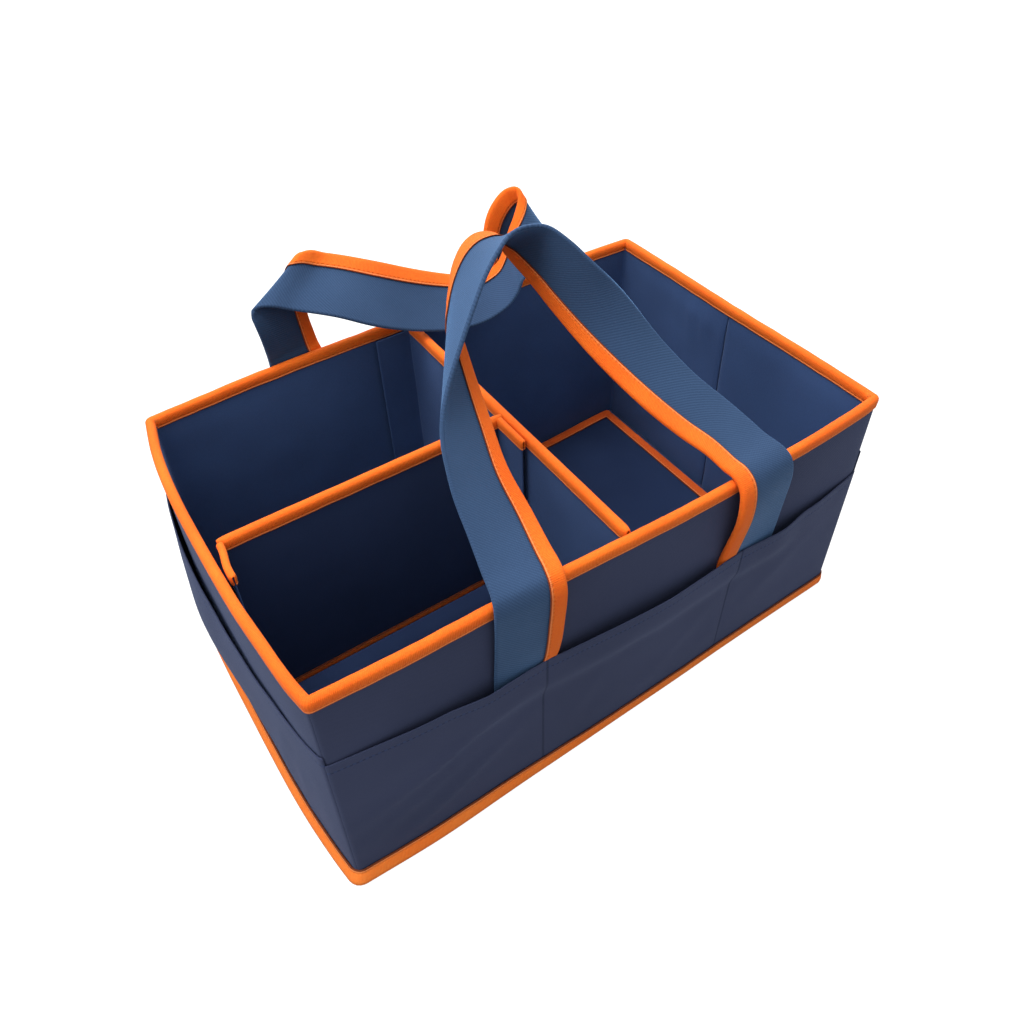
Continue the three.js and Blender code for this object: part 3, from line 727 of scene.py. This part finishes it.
def insert_wrinkle(x, y):
    """Loose folds of the insert's cover, away from its tape."""
    margin = min(INSERT_X - abs(x), INSERT_Y - abs(y))
    calm = smooth(9, 30, margin)
    near_back = math.exp(-(((x - 70) / 60) ** 2 + ((y - 80) / 34) ** 2))
    right = math.exp(-(((x - 120) / 46) ** 2 + ((y + 10) / 60) ** 2))
    fold = 0.5 + 0.5 * math.sin((x * 0.6 + y * 0.8) / 7 + 2.5 * bump_at((x, y, 0), 45))
    other = 0.5 + 0.5 * math.sin((x * 0.85 - y * 0.5) / 9 + 3 * bump_at((x, y, 9), 50))
    slow = 0.5 + 0.5 * bump_at((x, y, 5), 36, 1.0)
    return calm * (0.9 * slow + 1.3 * near_back * fold**2 + 1.1 * right * other**2)


rows = []
section = [(y, 7.3) for y in steps(-INSERT_Y + 1.6, INSERT_Y - 1.6, 5)]
section += [(INSERT_Y - 0.5, 6.6), (INSERT_Y - 0.3, 5.7), (INSERT_Y - 0.5, 4.8)]
section += [(y, 4.1) for y in steps(INSERT_Y - 1.6, -INSERT_Y + 1.6, 9)]
section += [(-INSERT_Y + 0.5, 4.8), (-INSERT_Y + 0.3, 5.7), (-INSERT_Y + 0.5, 6.6)]
for y, z in section:
    row = []
    for x in steps(-INSERT_X + 0.3, INSERT_X - 0.3, 5, 1):
        row.append(Vector((x, y, z + (insert_wrinkle(x, y) if z > 7 else 0.0))))
    rows.append(row)
cover = cloth_piece("insert_cloth", rows, LINING, INSERT_PAINTED_SHADE, closed=True, bend=laid)
settle(cover, "caddy_body", "panel_fabric", "insert_cover")
rows = []
for x in steps(-INSERT_X + 1.6, INSERT_X - 1.6, 14, 1):
    rows.append([Vector((x, y, 5.7)) for y in steps(-INSERT_Y + 2.2, INSERT_Y - 2.2, 14, 1)])
piece = cloth_piece("insert_bent_board", rows, 2.0, BOARD, bend=laid)
settle(piece, "caddy_body", "board", "insert_board")

insert_profile = [(-7.4, 8.3), (-6.6, 8.4), (-6.0, 8.3), (-5.0, 8.45), (-2.4, 8.55), (-0.6, 8.35)]
insert_profile += [(0.4, 7.7), (0.75, 6.6), (0.75, 4.8), (0.4, 3.7), (-0.6, 3.1), (-4, 3.05)]
insert_profile += [(-6.4, 3.05), (-7.4, 3.05)]


def insert_radius(out):
    return max(0.8, 2.4 + out * 0.3)


rows = ring_rows(insert_profile, INSERT_X, INSERT_Y, insert_radius, 5, 0.15, 1.5)
insert_tape = cloth_piece("insert_binding", rows, 0.9, DEEP_ORANGE_PAINTED_SHADE, closed=True, uv=tape_uv, bend=laid)
settle(insert_tape, "caddy_body", "edge_tape", "insert_edge_tape")

# ---------------------------------------------------------------- pockets
POCKET_LIFT = 4.0               # how far a pocket stands out over the end of a strap


def pocket(k, seams, ends, sag, gape, strap_places, creases, peak=0.5, belly=0.0):
    """One sheet across a wall, sewn at its foot, its ends and its seams, open at the top. ends are
    the heights of its top line's two ends and sag how far the line dips between them. gape is how
    far the top stands off and belly how far the middle does, most at the share peak of the way
    from one seam to the next."""
    name, half = NAMES[k], HALVES[k]
    rows = []
    plan = panel_plan(half, 0.75, 3.3, 4.5)
    for s, base in plan:
        share = along = 0.0
        for a, b in zip(seams, seams[1:]):
            if a < s < b:
                t = (s - a) / (b - a)
                share = math.sin(math.pi * t ** (math.log(0.5) / math.log(peak))) ** 1.6
                along = b - a
        place = min(1.0, max(-1.0, s / half))
        top = ends[0] + (ends[1] - ends[0]) * (place + 1) / 2 - sag * (1 - place**2)
        strap = 0.0
        for a, b in strap_places:
            strap = max(strap, smooth(a - 30, a, s) * (1 - smooth(b, b + 30, s)))
        seam = min(abs(s - q) for q in seams[1:-1]) if len(seams) > 2 else 99.0
        row = []
        for part in steps(0, 1, 0.04, 0.008):
            up = WALL_FOOT + 0.3 + (top - WALL_FOOT - 0.3) * part
            open_share = max(0.0, (up - 34) / (top - 34))
            puff = 0.5 * (1 + bump_at((s, up, 30 * k + 3), 26)) * smooth(half, half - 15, abs(s))
            loose = gape * share * open_share**1.3
            loose += belly * share**3 * math.sin(math.pi * part**1.2)
            loose += puff * smooth(6, 30, up) * (1.0 if along else 0.4)
            loose = max(0.0, loose + creased(creases, s, up)) * smooth(0.0, 5.0, seam)
            row.append(side(k, s, base + loose + POCKET_LIFT * strap * smooth(76, 96, up), up))
        rows.append(row[::-1])
    start = [s for s, base in plan]
    piece = cloth_piece(
        name + "_pocket_cloth",
        rows,
        0.9,
        POCKETS[k],
        uv=lambda i, j, u, v, width: (start[i] + half, v),
    )
    node = name + ("_pockets" if k % 2 == 0 else "_pocket")
    settle(piece, "caddy_body", "panel_fabric", node)


front_creases = [
    crease(-134, 75, 23, 4.2, 2.2),
    crease(-121, 41, 29, 4.5, 1.9),
    crease(-150, 48, 26, 4, 1.0),
    crease(-30, 60, 60, 6, 0.5),
    crease(40, 48, 40, 6, 0.5),
    crease(120, 60, 35, 6, 0.6),
]
back_creases = [crease(-120, 60, 40, 6, 0.7), crease(110, 64, -35, 6, 0.7)]
left_creases = [crease(60, 60, 70, 5, 0.8), crease(80, 50, 78, 4, 0.7)]
pocket(0, [-187, -65, 79, 187], (123, 113), 3, 3.0, [(-98, 109)], front_creases)
pocket(2, [-187, -74, 82, 187], (120, 120), 14, 6.0, [(-110, 112)], back_creases)
pocket(3, [-117.2, 117.2], (130, 130), 12, 2.6, [], left_creases, 0.33, 6.6)
pocket(1, [-117.2, 117.2], (130, 130), 12, 8.0, [], [crease(40, 60, 60, 6, 0.7)], 0.55)

# ---------------------------------------------------------------- dividers
HALF_DIVIDER = 1.6
LEFT_SHARE = 0.76               # how much of its wall's bow the long divider's left end follows


def mostly(p):
    return p.lerp(warp(p), LEFT_SHARE)


def divider_cloth(name, place, length, body, node, material, bend):
    """A sheet folded over a board, open at its foot. place turns (along, across, up)."""
    legs = steps(DIVIDER_FOOT, 173.5, 6, 1)
    section = [(-HALF_DIVIDER, z) for z in legs]
    section += [(-1.55, 175.2), (-1.15, 175.95), (0, DIVIDER_TOP), (1.15, 175.95), (1.55, 175.2)]
    section += [(HALF_DIVIDER, z) for z in reversed(legs)]
    rows = []
    for a in steps(0, length, 6, 1):
        row = []
        for c, z in section:
            wave = 0.25 * (1 + bump_at((a, z, 77 + 9 * len(name)), 32)) * smooth(34, 50, z)
            wave *= smooth(*CALM, z)
            row.append(place(a, c + (wave if c > 0 else -wave if c < 0 else 0), z))
        rows.append(row)
    piece = cloth_piece(name, rows, LINING, material, bend=bend)
    settle(piece, body, "panel_fabric", node)


def divider_top(name, place, length, body, node, bend):
    """The tape folded over a divider's top, pinched at both of its ends."""
    profile = over_the_top(-2.35, 2.35, HEIGHT - 0.6, 7.6, 0.15)
    rows = []
    for a in steps(-1.4, length + 3.2, 4, 1):
        row = []
        pinch = 1 - 0.55 * smooth(0.4, -1.4, a) - 0.55 * smooth(length + 1.0, length + 3.2, a)
        for c, z in profile:
            row.append(place(a, c * pinch, z + 0.3 * bump_at((a, z, 5 + len(name)), 10)))
        rows.append(row)
    piece = cloth_piece(name, rows, 0.8, ORANGE, uv=tape_uv, bend=bend)
    settle(piece, body, "edge_tape", node)


CROSS_HALF = 110.35
LONG_START, LONG_END = -180.2, -13.7


def cross_at(a, c, z):
    return Vector((CROSS_X + c, CROSS_HALF - a, z))


def long_at(a, c, z):
    return Vector((LONG_START + a, LONG_Y + c, z))


def divider(name, place, length, material, bend=warp):
    """A divider's cloth and the tape over its top."""
    divider_cloth(name + "_cloth", place, length, name, name + "_cover", material, bend)
    divider_top(name + "_binding", place, length, name, name + "_top_tape", bend)


divider("cross_divider", cross_at, 2 * CROSS_HALF, LINER)
length = LONG_END - LONG_START
divider("long_divider", long_at, length, LONG_LINER_PAINTED_SHADE, mostly)
foot_tape = [(-2.75, 38.9), (-2.8, 38.0), (-2.65, 37.3), (-2.8, 36.4), (-2.8, 34.4), (-2.2, 33.2)]
foot_tape += [(0, 32.95)] + [(-c, z) for c, z in reversed(foot_tape)]
rows = [[long_at(a, c, z) for c, z in foot_tape] for a in steps(3.4, length - 3.4, 5, 1)]
piece = cloth_piece("long_divider_foot_binding", rows, 1.0, ORANGE, uv=tape_uv, bend=mostly)
settle(piece, "long_divider", "edge_tape", "long_divider_foot_tape")


FLAP_FOOT = 38.8


def strip_heights():
    return steps(STRIP_FOOT, STRIP_TOP, 6, 1)


def flap(name, fold, direction, face, root, body, top, share=1.0, taped=True, drop=0.0):
    """A flap that leaves its divider round a fold, runs in its direction and is pressed to its
    face's side. root is not used. fold is the fold line's place and the directions are in plan.
    share is how much of its wall's bow the fold follows, and drop lowers its top tape."""
    along = Vector((*direction, 0))
    out = Vector((*face, 0))
    origin = Vector((*fold, 0))

    def at(a, h, z):
        p = origin + along * a + out * h + Vector((0, 0, z))
        return p.lerp(warp(p), share + (1 - share) * smooth(0, 20, a))

    def hinge(piece, node):
        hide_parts(node)
        start, end = at(-1.5, 0, 100) * MM, at(2.5, 0, 100) * MM
        tuple(start)
        tuple(end)
        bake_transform(piece)

    run = [(-2.6, -1.0), (-1.6, -0.5), (-0.6, -0.1)]
    run += [(a, 0) for a in (1.2, 3, 6, 10, 14, 18, 22, 23.4, 24.2)]
    rows = []
    for a, h in run:
        row = []
        for z in steps(FLAP_FOOT, top - drop, 6, 1):
            row.append(at(a, h + 0.12 * bump_at((a, z, 3), 18), z))
        rows.append(row)
    cloth = cloth_piece(name + "_cloth", rows, 1.1, LINER, bend=still)
    hinge(cloth, name)
    rows = [[at(a, 1.5, z) for z in strip_heights()] for a in steps(4, 20, 3, 0.6)]
    strip = cloth_piece(name + "_hooks", rows, 1.15, STRIP, bend=still)
    settle(strip, body, "hook_and_loop", name + "_hook_strip")
    if not taped:
        return
    profile = over_the_top(-1.35, 1.35, HEIGHT - 0.45 - drop, 7, 0.2)
    rows = []
    for a in [-0.4, 0.6, 3.0, 6.0, 9.0, 12.0, 15.0, 18.0, 21.0, 23.5, 24.6, 25.8]:
        row = []
        pinch = 1 - 0.5 * smooth(24.4, 25.8, a)
        for h, z in profile:
            fray = 0.5 * bump_at((z, h, 11), 1.6) if a > 25 else 0.0
            row.append(at(a + fray, -h * pinch, z + 0.25 * bump_at((a, z, 8), 7)))
        rows.append(row)
    binding_piece = cloth_piece(name + "_binding", rows, 0.85, ORANGE, uv=tape_uv, bend=still)
    hinge(binding_piece, name + "_tape")


def loop(name, fold, direction, face, body, node, rest):
    """The strip that a flap's hooks grip, on the sheet that the flap is pressed to."""
    along = Vector((*direction, 0))
    out = Vector((*face, 0))
    origin = Vector((*fold, 0))
    rows = []
    for a in steps(4, 20, 3, 0.6):
        foot = origin + along * a + out * 3.0
        rows.append([foot + Vector((0, 0, z)) for z in strip_heights()])
    piece = cloth_piece(name, rows, 1.15, STRIP)
    settle(piece, body, "hook_and_loop", node)


# Where each flap folds, the way it runs and the side that it is pressed to.
BACK_FOLD = ((-9.8, 111.25), (-1, 0), (0, 1))
FRONT_FOLD = ((-4.2, -111.25), (1, 0), (0, -1))
LEFT_FOLD = ((-181.1, -5.3), (0, -1), (-1, 0))
RIGHT_FOLD = ((-12.8, -5.3), (0, -1), (1, 0))
FLAP_TOP = 176.0

flap("cross_back_flap", *BACK_FOLD, "cross_divider", "caddy_body", 170.5, taped=False)
loop("back_wall_loops", *BACK_FOLD, "caddy_body", "back_wall_loop_strip", "back_inner_cloth")
flap("cross_front_flap", *FRONT_FOLD, "cross_divider", "cross_front_flap", FLAP_TOP, drop=8.5)
loop("front_wall_loops", *FRONT_FOLD, "caddy_body", "front_wall_loop_strip", "front_inner_cloth")
flap("long_left_flap", *LEFT_FOLD, "long_divider", "caddy_body", FLAP_TOP, LEFT_SHARE)
loop("left_wall_loops", *LEFT_FOLD, "caddy_body", "left_wall_loop_strip", "left_inner_cloth")
flap("long_right_flap", *RIGHT_FOLD, "long_divider", "long_right_flap", FLAP_TOP)
divider_strip = ("cross_divider", "cross_divider_loop_strip", "cross_divider_cloth")
loop("cross_divider_loops", *RIGHT_FOLD, *divider_strip)

# ---------------------------------------------------------------- handles
# Each row is one straight line across a strap, from its bare edge to its taped edge: x, y, z of
# both ends. The first and last rows are sewn to the wall behind the pockets.


def sewn(bare, taped, lean, up_the_wall=True):
    """A back strap's end, flat on the bent back wall. Its taped edge leans over near the rim."""
    stands_off = [(94, 1.5), (118, 1.5), (142, 1.5), (156, 1.7), (161, 2.4), (166, 3.3), (171, 3.8)]
    rows = []
    for z, off in stands_off + [(175.5, 3.8)]:
        a = (bare, HY + off + bow(BACK_BOW, bare, z), z)
        x = taped + lean * smooth(142, 180, z)
        b = (x, HY + off + bow(BACK_BOW, x, z), z)
        rows.append((a, b))
    return rows if up_the_wall else rows[::-1]


front_rows = [
    ((-96, -125, 94), (-52, -125.9, 94)),
    ((-96, -125.2, 107), (-58, -126.3, 107)),
    ((-96, -125.6, 114), (-58, -127, 114)),
    ((-96, -126, 121), (-56.5, -128, 121.5)),
    ((-95.5, -126.7, 135), (-56, -130, 134)),
    ((-95, -127.6, 153), (-55.3, -131, 150)),
    ((-94.8, -128.1, 167), (-54.6, -131.6, 164)),
    ((-94.5, -127.9, 176), (-54.2, -131, 174)),
    ((-93.5, -125.5, 181.5), (-53.4, -127.5, 180.6)),
    ((-92, -120.5, 184), (-51.8, -121, 182)),
    ((-90.5, -112, 187.5), (-50, -111, 182.5)),
    ((-88, -96, 198), (-46, -87, 187)),
    ((-86, -80, 211), (-45, -63, 199)),
    ((-83, -68, 224), (-40, -39, 213)),
    ((-80, -60, 233), (-33, -8, 232)),
    ((-76, -54, 240), (-26, 20, 253)),
    ((-67, -45, 249), (-20, 28, 259)),
    ((-50, -32, 263), (-11, 38, 266)),
    ((-34, -21, 276), (0, 45, 271)),
    ((-22, -12, 283), (9, 46, 273)),
    ((-8, -3, 289), (17, 44, 271)),
    ((6, 5, 292), (21, 42, 267)),
    ((18, 7, 292), (22, 39, 262)),
    ((28, 2, 291), (22, 32, 259)),
    ((35, -9, 285), (25, 15, 250)),
    ((42, -20, 275), (29, -4, 237)),
    ((57, -30, 255), (35, -36, 219)),
    ((74, -46, 225), (43, -69, 204)),
    ((86, -66, 205), (54, -93, 191)),
    ((97, -86, 191.5), (60, -107, 186)),
    ((101, -101, 185.5), (62, -115, 183)),
    ((102, -112, 183), (62.5, -120, 181.8)),
    ((103.7, -126, 181.2), (63.2, -126, 181)),
    ((104, -131.5, 178), (63.3, -131.5, 178)),
    ((104.8, -133.2, 172), (62.8, -135, 173.5)),
    ((105.5, -133.5, 164), (61.8, -137.3, 163.5)),
    ((105.5, -132.5, 150), (62, -137, 152)),
    ((105.5, -131.3, 136), (62.8, -134.5, 140)),
    ((106, -129.8, 121), (63, -130.5, 122)),
    ((106.5, -128.2, 108), (63, -127.8, 108)),
    ((106.5, -126.4, 94), (63, -127, 94)),
]

back_rows = sewn(-106, -61, -9.5)
back_rows += [
    ((-106, 131.5, 179), (-70.6, 134.5, 179)),
    ((-107.5, 127.5, 189), (-71.5, 136.5, 187)),
    ((-109.5, 124, 203), (-72.5, 138, 197)),
    ((-111, 124, 214), (-73, 139, 212)),
    ((-111.3, 125.2, 219), (-73, 139.5, 228)),
    ((-110, 125.6, 222.6), (-71.3, 140.5, 236.5)),
    ((-105.5, 124.6, 224.3), (-66.8, 142, 241.5)),
    ((-99, 122, 224), (-60, 143, 241)),
    ((-87, 118, 219), (-50, 144, 235)),
    ((-64, 107, 211), (-38, 141, 230)),
    ((-41, 101, 198), (-20, 134, 223)),
    ((-16, 96, 187), (5, 128, 211)),
    ((8, 90, 181), (31, 125, 199)),
    ((25, 86, 180), (47, 118, 196)),
    ((39, 84, 182), (60, 119, 196)),
    ((53, 83, 188), (69, 120, 199)),
    ((61, 84, 195), (74, 120, 207)),
    ((66, 85, 202), (79, 121, 219)),
    ((78, 88, 206), (86, 123, 231)),
    ((92, 98, 208), (91, 127, 240)),
    ((106, 111, 210), (92, 132, 245)),
    ((112, 119, 206), (86, 137, 243)),
    ((111, 125, 200), (77, 137, 237)),
    ((109, 129, 192), (69, 136, 226)),
    ((107.5, 130.3, 185), (64, 134, 206)),
    ((107, 130.5, 179), (62, 131.5, 184)),
]
back_rows += sewn(107, 62, 0, False)
HINGE_Y = 122.15
BEND_FROM, BEND_TO = 0.1768, 0.1804      # the straps bend between these heights, in metres


def strap(name, table, body, hinge_y):
    """A strap with its sewn ends, and the tape folded over its taped edge."""
    bare = spline([Vector(a) for a, _ in table], 5)
    taped = spline([Vector(b) for _, b in table], 5)
    shares = [0.0, 0.02, 0.1, 0.2, 0.3, 0.4, 0.5, 0.6, 0.7]
    shares += [TAPE_SHARE, 0.8, 0.86, 0.92, 0.96, 0.975]
    middle = [[a.lerp(b, t) for t in shares] for a, b in zip(bare, taped)]
    cloth = cloth_piece(name + "_webbing", middle, STRAP, WEBBING, bend=still)
    facing = normals(middle, False)
    rise = STRAP / 2 + 0.3 + STRAP_TAPE / 2
    path = [(9, rise), (10, rise + 0.05), (11, rise), (12, rise + 0.1), (13, rise)]
    rows = []
    for i, row in enumerate(middle):
        out = (row[-1] - row[-2]).normalized()
        edge, up = row[-1], facing[i][-1]
        line = [row[j] + facing[i][j] * h for j, h in path]
        line.append(edge + up * (rise * 0.85))
        line.append(edge + out * 0.65 + up * rise * 0.5)
        line.append(edge + out * 0.95)
        line.append(edge + out * 0.65 - up * rise * 0.5)
        line.append(edge - up * (rise * 0.85))
        line += [row[j] - facing[i][j] * h for j, h in reversed(path)]
        rows.append(line)
    tape = cloth_piece(name + "_edging", rows, STRAP_TAPE, ORANGE, uv=tape_uv, bend=still)
    length = sum((b - a).length for a, b in zip(bare, bare[1:]))
    sides = ["left", "right"]
    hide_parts(name + "_strap", *[f"{name}_{s}_end" for s in sides])
    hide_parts(name + "_tape", *[f"{name}_{s}_end_tape" for s in sides])
    start, end = ((0, hinge_y * MM, z) for z in (BEND_FROM, BEND_TO))
    for piece in (cloth, tape):
        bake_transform(piece)
        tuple(start)
        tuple(end)
    print(name, "length of the bare edge", round(length, 1))


strap("front_handle", front_rows, "front_handle", -HINGE_Y)
strap("back_handle", back_rows, "back_handle", HINGE_Y)

# ---------------------------------------------------------------- carried-over nodes
for node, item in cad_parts.items():
    if "board" in node:
        item.data.materials.clear()
        item.data.materials.append(BOARD)

# ---------------------------------------------------------------- camera, floor and light
PHOTO = 1024                    # the photograph's side in pixels
FOCAL, CENTRE_X, CENTRE_Y = 901.4, 518.84, 423.44    # in its pixels
SENSOR = 36

scene = bpy.context.scene
scene.view_settings.view_transform = "Standard"
data = bpy.data.cameras.new("camera")
camera = bpy.data.objects.new("camera", data)
scene.collection.objects.link(camera)
forward = Vector((0.4108, 0.6391, -0.6502)).normalized()
right = Vector((0.8304, -0.5567, -0.0227))
right = (right - forward * right.dot(forward)).normalized()
upward = right.cross(forward)
turn = Matrix((right, upward, -forward)).transposed()
camera.matrix_world = Matrix.Translation(Vector((-230.04, -364.6, 532.08)) * MM) @ turn.to_4x4()
data.sensor_width = SENSOR
data.sensor_fit = "HORIZONTAL"
data.lens = SENSOR * FOCAL / PHOTO
data.shift_x = (PHOTO / 2 - CENTRE_X) / PHOTO
data.shift_y = (CENTRE_Y - PHOTO / 2) / PHOTO
data.clip_start = 0.01
scene.camera = camera


def floor_material():
    material, shader, s = new_material("pale_floor", 0.9, 0.0)
    fill(shader, Base_Color=(0.22, 0.22, 0.22, 1), Specular_IOR_Level=0.1)
    fill(shader, Emission_Color=(1, 1, 1, 1))
    s.feed(shader.inputs["Emission Strength"], s.times(s.seen(), 0.93))
    return material


mesh = bpy.data.meshes.new("floor")
FLOOR_REACH = 6.0               # in metres
corners = [(x * FLOOR_REACH, y * FLOOR_REACH, 0) for x, y in ((-1, -1), (1, -1), (1, 1), (-1, 1))]
mesh.from_pydata(corners, [], [(0, 1, 2, 3)])
mesh.materials.append(floor_material())
floor = bpy.data.objects.new("floor", mesh)
scene.collection.objects.link(floor)
floor.location.z = -0.0002

world = bpy.data.worlds.new("world")
scene.world = world
world.use_nodes = True
s = Shade(world.node_tree)
back = world.node_tree.nodes["Background"]
fill(back, Color=(1, 1, 1, 1))
upwards = s.parts(s.node("ShaderNodeTexCoord").outputs["Generated"])[2]
dome = s.spread(upwards, 0.0, 0.9, 0.35, 1.05)
s.feed(back.inputs["Strength"], s.math("MAXIMUM", s.seen(), dome))


def lamp(name, place, target, size, power):
    data = bpy.data.lights.new(name, "AREA")
    data.shape = "SQUARE"
    data.size = size
    data.energy = power
    item = bpy.data.objects.new(name, data)
    scene.collection.objects.link(item)
    item.location = place
    aim = Vector(target) - Vector(place)
    item.rotation_euler = aim.to_track_quat("-Z", "Y").to_euler()


lamp("key", (-0.35, 0.15, 1.6), (0, 0, 0.1), 0.8, 18.0)
lamp("side", (-1.3, -0.1, 0.8), (-0.1, 0, 0.1), 0.9, 4.0)
lamp("behind", (0.65, 1.0, 1.05), (0, 0, 0.15), 1.2, 14.0)
